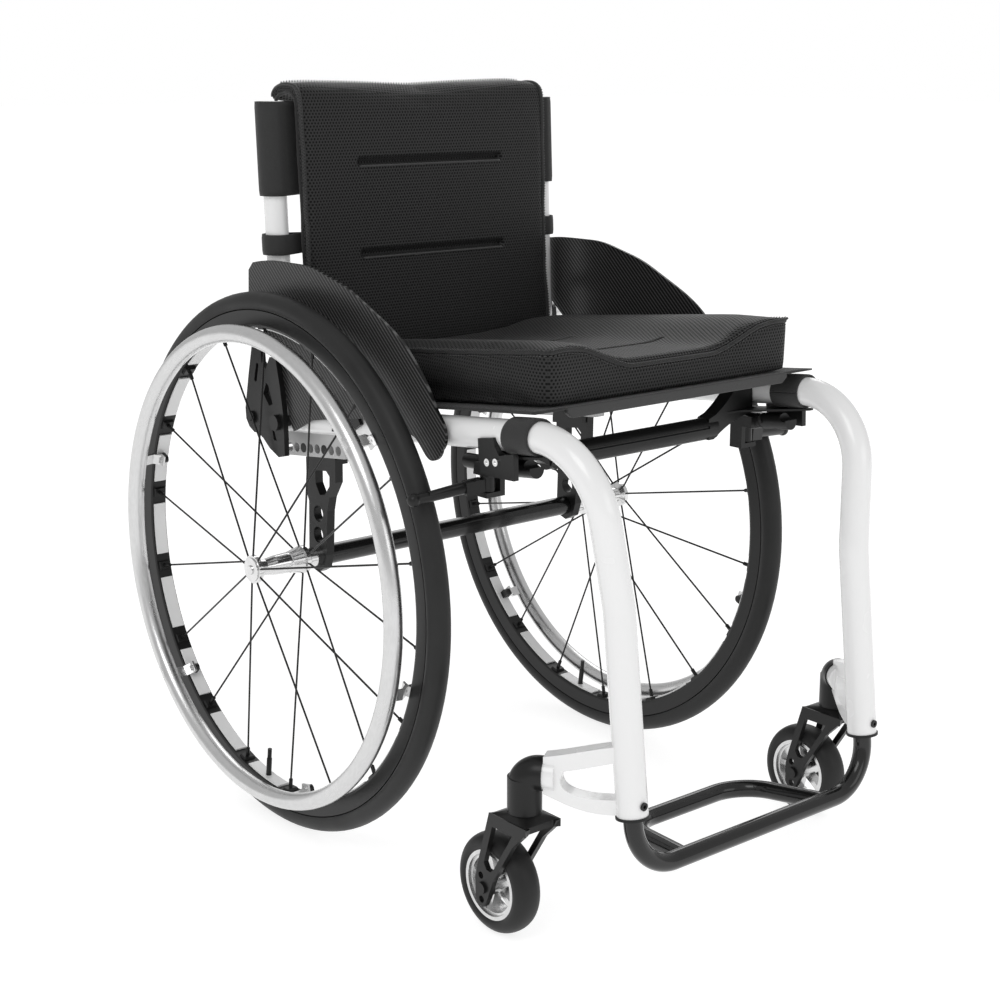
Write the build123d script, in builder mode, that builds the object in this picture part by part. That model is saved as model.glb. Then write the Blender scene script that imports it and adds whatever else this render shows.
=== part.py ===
from build123d import *
import os
from math import acos, cos, pi, radians, sin, tan

os.makedirs("parts", exist_ok=True)

# Rigid manual wheelchair. Millimetres, +Z up, +X the sitter's left, the sitter faces -Y.
# The origin is on the floor, in the middle of the footprint.
# Lengths called "forward" are measured ahead of the rear axle.

# ---- driving dimensions ----
AXLE_Y = 100.6            # rear axle behind the origin
AXLE_Z = 295.0            # rear wheel radius
WHEEL_X = 238.2           # rear wheel centre plane
TYRE_WIDTH = 24.0
RIM_INNER_R = 258.5
RIM_HALF = 9.6
SPOKES = 18
SPOKE_R = 1.1
SPOKE_FIRST = 12.5        # degrees above straight ahead
FLANGE_OFFSET = 30.6      # hub flanges either side of the wheel plane
FLANGE_R = 19.0
HANDRIM_R = 253.6
HANDRIM_TUBE_R = 9.5
HANDRIM_OFFSET = 33.0
PIN_R = 6.35              # quick-release axle pin
TUBE_R = 15.15            # frame tube, outside
TUBE_BORE = 13.2
TUBE_X = 185.9
FOOT_X = 165.8
SEAT_SLOPE = 0.10776      # rise per forward length
FOOT_TUBE_R = 9.3
BACK_X = 187.5
BACK_R = 12.7
BACK_LEAN = 0.0450        # backward lean per height
CASTOR_X = 224.4
CASTOR_F = 358.0
CASTOR_R = 50.6
STEM_F = 395.0
STEM_X = 224.4
CROSS_F = 300.0
CROSS_Z = 447.0
GUARD_X = 207.0
GUARD_T = 3.0


def at(x, forward, z):
    """A point from its side offset, forward length and height."""
    return Vector(x, AXLE_Y - forward, z)


def side_plane(x):
    """Sketch plane seen along X: first coordinate forward, second up."""
    return Plane(origin=(x, AXLE_Y, 0), x_dir=(0, -1, 0), z_dir=(-1, 0, 0))


def seat_line(forward):
    """Height of the seat tube's centre line."""
    return 441.5 + SEAT_SLOPE * (forward + 60.0)


def back_f(z):
    """Forward position of the back tube's centre line at a height."""
    return -(52.4 + BACK_LEAN * (z - 440.0))


def route(points, radii):
    """Lines through points, joined by arcs of the given radii."""
    start = points[0]
    for i in range(1, len(points) - 1):
        a = (points[i - 1] - points[i]).normalized()
        b = (points[i + 1] - points[i]).normalized()
        turn = pi - acos(a.dot(b))
        reach = radii[i - 1] * tan(turn / 2)
        middle = (a + b).normalized()
        centre = points[i] + middle * (radii[i - 1] / cos(turn / 2))
        first = points[i] + a * reach
        last = points[i] + b * reach
        Line(start, first)
        ThreePointArc(first, centre - middle * radii[i - 1], last)
        start = last
    Line(start, points[-1])


def pipe(points, radii, outer, inner=0.0, mode=Mode.ADD):
    """Sweep a round section along a routed path, inside a BuildPart."""
    with BuildLine() as path:
        route(points, radii)
    heading = (points[1] - points[0]).normalized()
    with BuildSketch(Plane(origin=points[0], z_dir=heading)) as section:
        Circle(outer)
        if inner:
            Circle(inner, mode=Mode.SUBTRACT)
    sweep(sections=section.sketch, path=path.line, mode=mode)


def rod(start, end, radius, mode=Mode.ADD):
    """A round bar between two points, inside a BuildPart."""
    span = end - start
    with Locations(Plane(origin=start + span * 0.5, z_dir=span.normalized()).location):
        Cylinder(radius, span.length, mode=mode)


def save(piece, name):
    piece.label = name
    export_step(piece, "parts/" + name + ".step")


def save_pair(piece, name):
    """Write the left piece and its mirror image on the right."""
    save(piece, name + "_left")
    save(mirror(piece, about=Plane.YZ), name + "_right")


# ---- frame side tubes ----
tube_path = [at(TUBE_X, -60, 441.5), at(TUBE_X, 441.1, seat_line(441.1)), at(FOOT_X, 458.1, 340), at(FOOT_X, 480.7, 145)]
leg_dir = (tube_path[3] - tube_path[2]).normalized()
with BuildPart() as frame_tube:
    pipe(tube_path, [78, 100], TUBE_R, TUBE_BORE)
    screw_spot = tube_path[3] - leg_dir * 13
    rod(screw_spot, screw_spot + Vector(0, -20, 0), 2.1, Mode.SUBTRACT)
save_pair(frame_tube.part, "frame_tube")

# ---- castor arms: a triangular yoke with two legs, in the plane from stem to frame tube ----
stem = at(STEM_X, STEM_F, 0)
foot = at(FOOT_X, 476.0, 0)
arm_dir = (foot - stem).normalized()
arm_plane = Plane(origin=stem, x_dir=arm_dir, z_dir=arm_dir.cross(Vector(0, 0, 1)))
ARM_TOP = [(19.5, 196.0), (46, 202.0), (84, 211.5), (95, 213.5)]
ARM_LOW = [(95, 146.0), (66, 145.0), (48, 148.5), (35, 153.0), (19.5, 159.0)]
WINDOW_TOP = [(37, 183.0), (46, 185.0), (84, 195.5), (110, 201.0)]
WINDOW_LOW = [(110, 160.0), (66, 159.0), (51, 161.0), (39.5, 166.0), (35.5, 174.0)]
with BuildPart() as castor_arm:
    with BuildSketch(arm_plane):
        with BuildLine():
            Spline(*ARM_TOP)
            Line(ARM_TOP[-1], ARM_LOW[0])
            Spline(*ARM_LOW)
            Line(ARM_LOW[-1], ARM_TOP[0])
        make_face()
        with BuildLine():
            Spline(*WINDOW_TOP)
            Line(WINDOW_TOP[-1], WINDOW_LOW[0])
            Spline(*WINDOW_LOW)
            Line(WINDOW_LOW[-1], WINDOW_TOP[0])
        make_face(mode=Mode.SUBTRACT)
    extrude(amount=8.5, both=True)
    # boss that takes the castor housing
    rod(stem + arm_dir * 19.0 + Vector(0, 0, 176.5), stem + arm_dir * 30.0 + Vector(0, 0, 176.5), 15.0)
    chamfer(castor_arm.faces().sort_by(Axis.Z)[0].edges().filter_by(GeomType.BSPLINE), 1.0)
    # saddle cut for the frame tube
    rod(tube_path[3] + leg_dir * 20, tube_path[3] - leg_dir * 120, TUBE_R, Mode.SUBTRACT)
save_pair(castor_arm.part, "castor_arm")

# ---- castor housings: vertical barrel with an elbow to the arm boss ----
with BuildPart() as castor_elbow:
    with BuildLine() as elbow_path:
        low = stem + Vector(0, 0, 137)
        route([low, stem + Vector(0, 0, 176.5), stem + arm_dir * 19.0 + Vector(0, 0, 176.5)], [14.0])
    with BuildSketch(Plane(origin=low, z_dir=(0, 0, 1))):
        Circle(16.7)
    sweep(path=elbow_path.line, transition=Transition.ROUND)
    rod(stem + Vector(0, 0, 138), stem + Vector(0, 0, 172), 16.7)
    # bore for the fork's stem
    rod(stem + Vector(0, 0, 136), stem + Vector(0, 0, 166), 6.05, Mode.SUBTRACT)
save_pair(castor_elbow.part, "castor_elbow")

# ---- castor forks ----
FORK_X = 21.8             # outer face of each leg from the wheel plane
LEG_T = 6.0
LEG_OUTLINE = [(368, 131), (362, 111), (350.5, 72), (347.5, 58), (348.0, 38), (353, 30.5), (361, 31.5),
               (365.5, 40), (374, 62), (403, 108), (419, 124), (422, 131)]
LEG_WINDOW = [(373, 119), (360.5, 78), (364.5, 71.5), (370.5, 71), (375.5, 76), (397.5, 111), (402, 119)]
with BuildPart() as castor_fork:
    for x in (CASTOR_X - FORK_X, CASTOR_X + FORK_X - LEG_T):
        with BuildSketch(side_plane(x + LEG_T)):
            with BuildLine():
                Polyline(*LEG_OUTLINE, close=True)
            make_face()
            with BuildLine():
                Polyline(*LEG_WINDOW, close=True)
            make_face(mode=Mode.SUBTRACT)
        extrude(amount=LEG_T)
    # crown with pointed corners
    with BuildSketch(Plane(origin=(STEM_X, AXLE_Y - STEM_F, 124))):
        Polygon((-21.8, -27), (-14, -22.5), (14, -22.5), (21.8, -27), (21.8, 27), (14, 22.5), (-14, 22.5),
                (-21.8, 27), align=None)
    extrude(amount=8)
    with BuildSketch(Plane(origin=(STEM_X, AXLE_Y - STEM_F, 131.9))):
        Polygon((-20.5, -25), (20.5, -25), (20.5, 25), (-20.5, 25), align=None)
    with BuildSketch(Plane(origin=(STEM_X, AXLE_Y - STEM_F, 136.4))):
        Circle(16.2)
    loft()
    # stem
    rod(stem + Vector(0, 0, 130), stem + Vector(0, 0, 164), 6.0)
    # spare axle holes above and below the one in use
    for forward, z in ((356.0, 63.0), (357.0, 38.2)):
        rod(at(CASTOR_X - 30, forward, z), at(CASTOR_X + 30, forward, z), 3.6, Mode.SUBTRACT)
    # castor axle bolt with a head outside and a nut inside
    rod(at(CASTOR_X - 24.5, CASTOR_F, CASTOR_R), at(CASTOR_X + 24.5, CASTOR_F, CASTOR_R), 4.0)
    for x in (CASTOR_X - 24.5, CASTOR_X + 21.5):
        rod(at(x, CASTOR_F, CASTOR_R), at(x + 3.0, CASTOR_F, CASTOR_R), 6.0)
save_pair(castor_fork.part, "castor_fork")

# ---- castor wheels ----
castor_plane = Plane(origin=at(CASTOR_X, CASTOR_F, CASTOR_R), x_dir=(1, 0, 0), z_dir=(0, -1, 0))
castor_axis = Axis(at(CASTOR_X, CASTOR_F, CASTOR_R), (1, 0, 0))
with BuildPart() as castor_tyre:
    with BuildSketch(castor_plane):
        with BuildLine():
            Spline((-13.6, 35.2), (-15.2, 40.5), (-11.0, 47.4), (0, 50.6), (11.0, 47.4), (15.2, 40.5), (13.6, 35.2))
            Line((13.6, 35.2), (-13.6, 35.2))
        make_face()
    revolve(axis=castor_axis)
save_pair(castor_tyre.part, "castor_tyre")

with BuildPart() as castor_hub:
    with BuildSketch(castor_plane):
        Polygon((-13.6, 35.2), (13.6, 35.2), (13.6, 31.5), (10.5, 30.6), (10.5, 28.6), (-10.5, 28.6), (-10.5, 30.6),
                (-13.6, 31.5), align=None)
    revolve(axis=castor_axis)
    rod(at(CASTOR_X - 13.5, CASTOR_F, CASTOR_R), at(CASTOR_X + 13.5, CASTOR_F, CASTOR_R), 10.0)
    # five twin spokes
    for i in range(5):
        with BuildSketch(Plane(origin=at(CASTOR_X - 5.5, CASTOR_F, CASTOR_R), x_dir=(0, 1, 0), z_dir=(1, 0, 0))):
            with Locations(Rotation(0, 0, 72 * i)):
                with Locations((19.5, 0)):
                    Rectangle(21, 6.0)
        extrude(amount=11)
    rod(at(CASTOR_X - 14, CASTOR_F, CASTOR_R), at(CASTOR_X + 14, CASTOR_F, CASTOR_R), 4.05, Mode.SUBTRACT)
save_pair(castor_hub.part, "castor_hub")

# ---- rear wheels ----
wheel_plane = Plane(origin=at(WHEEL_X, 0, AXLE_Z), x_dir=(1, 0, 0), z_dir=(0, -1, 0))
wheel_axis = Axis(at(WHEEL_X, 0, AXLE_Z), (1, 0, 0))
TW = TYRE_WIDTH / 2


def around(angle, radius, offset=0.0):
    """A point on the rear wheel: degrees above straight ahead, radius, outward offset."""
    return at(WHEEL_X + offset, radius * cos(radians(angle)), AXLE_Z + radius * sin(radians(angle)))


def wheel_frame(angle, radius, offset=0.0):
    """Plane with local x outward along the axle and local y along the radius."""
    radial = (around(angle, 1.0) - around(angle, 0.0)).normalized()
    return Plane(origin=around(angle, radius, offset), x_dir=(1, 0, 0), z_dir=Vector(1, 0, 0).cross(radial))


def lug_plane(i):
    """Inner face of the handrim lug number i, local x along the radius."""
    angle = -18.0 + 60 * i
    radial = around(angle, 1.0) - around(angle, 0.0)
    return Plane(origin=around(angle, 252.5, -1.5), x_dir=radial, z_dir=(1, 0, 0))


with BuildPart() as tyre:
    with BuildSketch(wheel_plane):
        with BuildLine():
            Polyline((-10.6, 277.2), (-6.5, 276.3), (-6.5, 266.0), (-4.4, 266.0), (-4.4, 276.0), (-7.6, 279.4))
            Spline((-7.6, 279.4), (-8.6, 284), (-4.8, 289.4), (0, 290.8), (4.8, 289.4), (8.6, 284), (7.6, 279.4))
            Polyline((7.6, 279.4), (4.4, 276.0), (4.4, 266.0), (6.5, 266.0), (6.5, 276.3), (10.6, 277.2))
            Spline((10.6, 277.2), (TW, 283), (8.2, 291.8), (0, 295), (-8.2, 291.8), (-TW, 283), (-10.6, 277.2))
        make_face()
    revolve(axis=wheel_axis)
save_pair(tyre.part, "tyre")

with BuildPart() as rim:
    with BuildSketch(wheel_plane):
        Polygon((-8.8, 258.5), (8.8, 258.5), (RIM_HALF, 261), (10.4, 276.0), (7.8, 276.0), (7.2, 271.0), (6.6, 264.0),
                (-6.6, 264.0), (-7.2, 271.0), (-7.8, 276.0), (-10.4, 276.0), (-RIM_HALF, 261), align=None)
    revolve(axis=wheel_axis)
    # spoke pads
    for i in range(SPOKES):
        with BuildSketch(Plane(origin=around(SPOKE_FIRST + 20 * i, 259.5), x_dir=(1, 0, 0),
                               z_dir=around(SPOKE_FIRST + 20 * i, -1) - around(SPOKE_FIRST + 20 * i, 0))):
            Rectangle(15.0, 12.0)
        extrude(amount=4.0, taper=20)
    # lugs for the handrim tabs, half way between spokes
    for i in range(6):
        with BuildSketch(lug_plane(i)):
            SlotOverall(16, 9)
        extrude(amount=6.0)
    # valve
    rod(around(-97.5, 262), around(-97.5, 236), 3.0)
    rod(around(-97.5, 237), around(-97.5, 224), 2.4)
save_pair(rim.part, "rim")

with BuildPart() as rim_inserts:
    for i in range(SPOKES):
        middle = SPOKE_FIRST + 10 + 20 * i
        with BuildSketch(wheel_frame(middle + 6.8, 0.0)):
            with Locations((0, 257.4)):
                RectangleRounded(15.0, 2.0, 0.7)
        revolve(axis=wheel_axis, revolution_arc=13.6)
    for i in range(6):
        with BuildSketch(lug_plane(i)):
            SlotOverall(16, 9)
        extrude(amount=6.0, mode=Mode.SUBTRACT)
    rod(around(-97.5, 262), around(-97.5, 236), 3.4, Mode.SUBTRACT)
save_pair(rim_inserts.part, "rim_inserts")

with BuildPart() as spokes:
    for i in range(SPOKES):
        angle = SPOKE_FIRST + 20 * i
        offset = FLANGE_OFFSET if i % 2 == 0 else -FLANGE_OFFSET
        hub_end = around(angle, FLANGE_R - 6.0, offset * 1.02)
        rim_end = around(angle, 254.9, 0)
        rod(hub_end, rim_end, SPOKE_R)
        step = (rim_end - hub_end).normalized()
        rod(rim_end - step * 9, rim_end, 2.2)
save_pair(spokes.part, "spokes")

with BuildPart() as hub:
    with BuildSketch(wheel_plane):
        with BuildLine():
            Polyline((-36, PIN_R + 0.05), (-36, 10.6), (-34, 11.0), (-33.4, 15.4), (-28.4, 15.4), (-26, 14.6), (-13, 11.6),
                     (-12.4, 10.9), (-10.6, 10.9), (-10, 11.4), (6, 10.6), (18, 8.8), (25, 9.4), (28.0, 15.4), (33.0, 15.4),
                     (33.4, 13.0), (33.4, PIN_R + 0.05), close=True)
        make_face()
    revolve(axis=wheel_axis)
    for i in range(SPOKES):
        angle = SPOKE_FIRST + 20 * i
        offset = FLANGE_OFFSET if i % 2 == 0 else -FLANGE_OFFSET
        hub_end = around(angle, FLANGE_R - 6.0, offset * 1.02)
        rod(hub_end, around(angle, 255.4, 0), SPOKE_R, Mode.SUBTRACT)
save_pair(hub.part, "hub")

with BuildPart() as handrim:
    with BuildSketch(wheel_plane):
        with Locations((HANDRIM_OFFSET, HANDRIM_R)):
            Circle(HANDRIM_TUBE_R)
            Circle(HANDRIM_TUBE_R - 1.6, mode=Mode.SUBTRACT)
    revolve(axis=wheel_axis)
    # tabs reaching in to the rim lugs, each with a button screw
    for i in range(6):
        with BuildSketch(wheel_frame(-18.0 + 60 * i, 0.0)):
            Polygon((25.5, 250.5), (25.5, 253.5), (14.0, 255.5), (6.5, 251.0), (4.6, 254.0), (4.6, 242.5), (6.8, 242.5),
                    (7.6, 247.5), (14.4, 252.2), align=None)
        extrude(amount=6.0, both=True)
        rod(around(-18.0 + 60 * i, 248.0, 5.0), around(-18.0 + 60 * i, 248.0, 9.0), 3.4)
save_pair(handrim.part, "handrim")

# ---- quick-release axle pins with their receivers ----
RECEIVER_IN = 150.0
with BuildPart() as axle_pin:
    rod(at(RECEIVER_IN, 0, AXLE_Z), at(WHEEL_X + 33.6, 0, AXLE_Z), PIN_R)
    rod(at(WHEEL_X + 33.5, 0, AXLE_Z), at(WHEEL_X + 35.0, 0, AXLE_Z), 13.2)
    rod(at(193.0, 0, AXLE_Z), at(201.6, 0, AXLE_Z), 11.0)
    rod(at(186.0, 0, AXLE_Z), at(193.0, 0, AXLE_Z), 9.6)
    rod(at(WHEEL_X + 5.0, 0, AXLE_Z), at(WHEEL_X + 40.0, 0, AXLE_Z), 3.55, Mode.SUBTRACT)
    rod(at(WHEEL_X + 31.2, 0, AXLE_Z), at(WHEEL_X + 40.0, 0, AXLE_Z), 5.05, Mode.SUBTRACT)
save_pair(axle_pin.part, "axle_pin")

with BuildPart() as release_button:
    rod(at(WHEEL_X + 9.0, 0, AXLE_Z), at(WHEEL_X + 33.3, 0, AXLE_Z), 3.5)
    rod(at(WHEEL_X + 33.2, 0, AXLE_Z), at(WHEEL_X + 36.8, 0, AXLE_Z), 5.0)
    fillet(release_button.edges().filter_by(GeomType.CIRCLE).group_by(Axis.X)[-1], 0.9)
save_pair(release_button.part, "release_button")

# ---- axle tube, axle plates and hanger bars ----
with BuildPart() as axle_tube:
    rod(at(-183, 0, AXLE_Z), at(183, 0, AXLE_Z), 11.1)
    rod(at(-190, 0, AXLE_Z), at(190, 0, AXLE_Z), 9.0, Mode.SUBTRACT)
save(axle_tube.part, "axle_tube")

PLATE_OUT = 188.0
PLATE_IN = 178.0
PLATE = [(-16.5, 404.9), (39.5, 411.7), (39.0, 385.0), (27.0, 366.5), (22.5, 350), (19.0, 300), (14, 284), (2, 277.5),
         (-13, 282), (-14.5, 300), (-12.5, 356), (-17.5, 366), (-16.5, 381)]
D_HOLE = [(1.0, 392.5), (22.0, 395.0), (28.0, 390.0), (27.5, 379), (18, 367.5), (9, 366), (1.0, 378)]
with BuildPart() as axle_plate:
    with BuildSketch(side_plane(PLATE_OUT)):
        with BuildLine():
            Polyline(*PLATE, close=True)
        make_face()
        with BuildLine():
            Polyline(*D_HOLE, close=True)
        make_face(mode=Mode.SUBTRACT)
        with Locations((5.0, 344.5), (4.0, 320.5)):
            Circle(9.0, mode=Mode.SUBTRACT)
    extrude(amount=PLATE_OUT - PLATE_IN)
    fillet(axle_plate.edges().filter_by(Axis.X), 1.6)
    # top flange reaching in to a lug behind the hanger bar
    with BuildSketch(side_plane(PLATE_IN + 1)):
        Polygon((-15, 397.5), (38, 404.0), (38, 411.4), (-15, 405.0), align=None)
    extrude(amount=8.6)
    with BuildSketch(side_plane(173.9)):
        Polygon((-15, 403.4), (32, 409.0), (28, 426), (-12, 420), align=None)
    extrude(amount=3.5)
    rod(at(RECEIVER_IN, 0, AXLE_Z), at(195, 0, AXLE_Z), 9.65, Mode.SUBTRACT)
    rod(at(RECEIVER_IN, 0, AXLE_Z), at(183.0, 0, AXLE_Z), 11.15, Mode.SUBTRACT)
save_pair(axle_plate.part, "axle_plate")

HOLES = [-47.0 + 13.25 * i for i in range(8)]


def hole_z(forward):
    """Height of the hanger bar's row of holes."""
    return 411.0 + 0.1075 * (forward + 47.0)


with BuildPart() as hanger_bar:
    with BuildSketch(side_plane(PLATE_OUT)):
        Polygon((-52, 400.9), (58, 414.0), (58, 447), (-52, 436), align=None)
    extrude(amount=14.0)
    rod(at(TUBE_X, -70, seat_line(-70)), at(TUBE_X, 110, seat_line(110)), TUBE_R, Mode.SUBTRACT)
    for forward in HOLES:
        z = hole_z(forward)
        rod(at(PLATE_OUT + 2, forward, z), at(PLATE_OUT - 20, forward, z), 5.2, Mode.SUBTRACT)
save_pair(hanger_bar.part, "hanger_bar")

with BuildPart() as hanger_bolts:
    for side in (-1, 1):
        for forward in (HOLES[2], HOLES[5]):
            z = hole_z(forward)
            rod(at(side * (PLATE_OUT - 14), forward, z), at(side * (PLATE_OUT + 0.5), forward, z), 5.2)
            rod(at(side * (PLATE_OUT + 0.4), forward, z), at(side * (PLATE_OUT - 4), forward, z), 2.2, Mode.SUBTRACT)
save(hanger_bolts.part, "hanger_bolts")

# ---- crossbar with gusseted ends and wing plates under the seat tubes ----
SEAT_DIR = at(0, 1, SEAT_SLOPE) - at(0, 0, 0)
SEAT_UP = at(0, -SEAT_SLOPE, 1) - at(0, 0, 0)
WING = [(128, 8.5), (128, -8.5), (184, -8.5), (190, 30), (195, 56), (190, 77), (184, 77), (150, 12)]
with BuildPart() as crossbar:
    with BuildSketch(Plane(origin=at(0, CROSS_F, CROSS_Z), x_dir=(0, -1, 0), z_dir=(-1, 0, 0))):
        SlotOverall(24.0, 21.0, rotation=90)
    extrude(amount=118, both=True)
    with BuildSketch(Plane(origin=at(0, CROSS_F + 10.6, CROSS_Z + 3.2), x_dir=(0, -1, 0), z_dir=(-1, 0, 0))):
        Circle(1.6)
    extrude(amount=104, both=True, mode=Mode.SUBTRACT)
    for side in (-1, 1):
        with BuildSketch(Plane(origin=at(0, CROSS_F, 0), x_dir=(1, 0, 0), z_dir=(0, -1, 0))):
            with BuildLine():
                Line((side * 104, 458.5), (side * 114, 462))
                Spline((side * 114, 462), (side * 128, 472), (side * 142, 485.5))
                Polyline((side * 142, 485.5), (side * 169, 487), (side * 171, 464), (side * 178, 463), (side * 178, 459))
                Spline((side * 178, 459), (side * 140, 451), (side * 112, 436))
                Polyline((side * 112, 436), (side * 104, 436), (side * 104, 458.5))
            make_face()
        extrude(amount=8.5, both=True)
        with BuildSketch(Plane(origin=at(0, CROSS_F, seat_line(CROSS_F) - 20.6), x_dir=(1, 0, 0), z_dir=SEAT_UP)):
            Polygon(*[(side * x, -forward) for x, forward in WING], align=None)
        extrude(amount=2.2)
        rod(at(side * TUBE_X, 250, seat_line(250)), at(side * TUBE_X, 390, seat_line(390)), TUBE_R, Mode.SUBTRACT)
save(crossbar.part, "crossbar")

# ---- brakes: clamp under the seat tube, lever that swings down, and a shoe rod geared to it ----
LEVER_X = 178.0
LEVER_F = 322.0
LEVER_Z = 450.0
SCREWS = [(317.7, 458.0), (330.1, 460.0)]
SHOE_X = 182.0
SHOE_F = 289.0
BALL = at(260.0, 274.2, 421.5)
with BuildPart() as brake_clamp:
    with BuildSketch(side_plane(204.5)):
        Polygon((302, 478.5), (324.5, 482.5), (327, 474), (333.5, 466.5), (354, 471.5), (355, 446), (320, 444.5),
                (306, 446), (303, 462), align=None)
    extrude(amount=6.0)
    rod(at(TUBE_X, 250, seat_line(250)), at(TUBE_X, 390, seat_line(390)), TUBE_R, Mode.SUBTRACT)
    # barrel behind the lever, and the bridge from it to the outer plate
    rod(at(LEVER_X, 254, 445.5), at(LEVER_X, 311, 449.0), 7.4)
    with BuildSketch(side_plane(199.0)):
        Polygon((288, 441), (311, 441), (311, 453), (290, 453), align=None)
    extrude(amount=32.0)
    # clevis for the shoe arm: two plates joined by a web on the inner side
    for low, high in ((438.5, 446.0), (416.5, 421.5)):
        with BuildSketch(Plane.XY.offset(low)):
            with Locations((178.5, AXLE_Y - 289)):
                Rectangle(23.0, 17.0)
        extrude(amount=high - low)
    with BuildSketch(Plane.XY.offset(416.5)):
        with Locations((170.0, AXLE_Y - 289)):
            Rectangle(6.0, 17.0)
    extrude(amount=28)
    # pivot pins for the shoe arm and the lever
    rod(at(SHOE_X, SHOE_F, 419), at(SHOE_X, SHOE_F, 441), 4.0)
    rod(at(LEVER_X - 10.0, LEVER_F, LEVER_Z), at(199.0, LEVER_F, LEVER_Z), 2.5)
    for forward, z in SCREWS:
        rod(at(190, forward, z), at(210, forward, z), 2.0, Mode.SUBTRACT)
save_pair(brake_clamp.part, "brake_clamp")

with BuildPart() as brake_handle:
    rod(at(LEVER_X, LEVER_F, LEVER_Z), at(LEVER_X, 357.0, 454.1), 8.9)
    with Locations(at(LEVER_X, LEVER_F, LEVER_Z)):
        Sphere(8.9)
    # finger scoop across the free end
    rod(at(LEVER_X + 12, 353, 460.5), at(LEVER_X - 12, 353, 460.5), 6.2, Mode.SUBTRACT)
    rod(at(LEVER_X - 20, LEVER_F, LEVER_Z), at(LEVER_X + 20, LEVER_F, LEVER_Z), 2.55, Mode.SUBTRACT)
save_pair(brake_handle.part, "brake_handle")

with BuildPart() as brake_shoe:
    shoe_root = at(SHOE_X, SHOE_F, 429.0)
    shoe_dir = (BALL - shoe_root).normalized()
    rod(at(SHOE_X, SHOE_F, 422.0), at(SHOE_X, SHOE_F, 438.0), 7.6)
    rod(shoe_root + shoe_dir * 5.0, BALL, 5.2)
    rod(shoe_root + shoe_dir * 14.0 + Vector(0, 0, 5.5), BALL - shoe_dir * 14 + Vector(0, -3, 4.0), 2.4)
    # flat-sided knuckle between the pivot and the rod
    with BuildSketch(Plane(origin=shoe_root + shoe_dir * 6.0, z_dir=shoe_dir)):
        Rectangle(13.0, 13.0)
    extrude(amount=20.0)
    with Locations(BALL):
        Sphere(6.6)
    rod(at(SHOE_X, SHOE_F, 415), at(SHOE_X, SHOE_F, 445), 4.05, Mode.SUBTRACT)
save_pair(brake_shoe.part, "brake_shoe")

with BuildPart() as brake_screws:
    for side in (-1, 1):
        for forward, z in SCREWS:
            rod(at(side * 199.0, forward, z), at(side * 204.6, forward, z), 2.0)
            rod(at(side * 204.5, forward, z), at(side * 206.8, forward, z), 3.7)
            rod(at(side * 206.9, forward, z), at(side * 205.4, forward, z), 1.7, Mode.SUBTRACT)
save(brake_screws.part, "brake_screws")

# ---- side guards and their front brackets ----
GUARD_UPPER = [(-90, 580), (-88.5, 604), (-80, 612.5), (-50, 617), (-3, 618), (30, 617), (63, 610), (97, 601), (130, 587),
               (163, 572), (197, 551), (217, 532), (235, 510), (243, 498), (256, 482), (258, 471), (252, 459)]
GUARD_LOWER = [(243, 448), (233, 446), (221, 454), (204, 466), (150, 475), (75, 463), (27, 454), (-8, 437), (-14, 446),
               (-20, 470), (-34, 520), (-84, 560)]
with BuildPart() as side_guard:
    with BuildSketch(side_plane(GUARD_X + GUARD_T / 2)):
        with Locations((-7.5, -2.0)):
            with BuildLine():
                Polyline(*GUARD_UPPER[:3])
                Spline(*GUARD_UPPER[2:])
                Spline(GUARD_UPPER[-1], GUARD_LOWER[0], GUARD_LOWER[1], GUARD_LOWER[2], GUARD_LOWER[3])
                Polyline(*GUARD_LOWER[3:])
                Line(GUARD_LOWER[-1], GUARD_UPPER[0])
            make_face()
    extrude(amount=GUARD_T)
save_pair(side_guard.part, "side_guard")

with BuildPart() as guard_bracket:
    with BuildSketch(side_plane(GUARD_X - GUARD_T / 2)):
        Polygon((60, 447), (92, 450), (112, 462), (92, 492), (66, 486), align=None)
    extrude(amount=4.0)
    rod(at(TUBE_X, 62, seat_line(62)), at(TUBE_X, 90, seat_line(90)), TUBE_R + 2.6)
    rod(at(198, 84, 458), at(GUARD_X - GUARD_T / 2, 84, 458), 5.0)
    rod(at(TUBE_X, 50, seat_line(50)), at(TUBE_X, 100, seat_line(100)), TUBE_R, Mode.SUBTRACT)
save_pair(guard_bracket.part, "guard_bracket")

# ---- seat sling, with its front hem and the flaps wrapped round the seat tubes ----
SLING_F = (-24.0, 371.5)
with BuildPart() as seat_sling:
    with BuildSketch(side_plane(0)):
        Polygon((SLING_F[0], seat_line(SLING_F[0]) + 18.0), (SLING_F[1], seat_line(SLING_F[1]) + 18.0),
                (SLING_F[1], seat_line(SLING_F[1]) + 24.0), (SLING_F[0], seat_line(SLING_F[0]) + 24.0), align=None)
    extrude(amount=193, both=True)
    with BuildSketch(Plane(origin=at(0, SLING_F[1] - 7.5, 0), x_dir=(1, 0, 0), z_dir=(0, -1, 0))):
        with BuildLine():
            Polyline((-152.7, 511.5), (152.7, 511.5), (152.7, 506), (146, 500.6), (-146, 500.6), (-152.7, 506), close=True)
        make_face()
    extrude(amount=8.0)
    for side in (-1, 1):
        with BuildSketch(Plane(origin=at(side * TUBE_X, 333.5, seat_line(333.5)), x_dir=(1, 0, 0), z_dir=SEAT_DIR)):
            Circle(TUBE_R + 2.9)
            Circle(TUBE_R, mode=Mode.SUBTRACT)
        extrude(amount=38.5)
        mirrored = [Vector(side * p.X, p.Y, p.Z) for p in tube_path]
        pipe(mirrored, [78, 100], TUBE_R + 0.02, mode=Mode.SUBTRACT)
save(seat_sling.part, "seat_sling")

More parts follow.
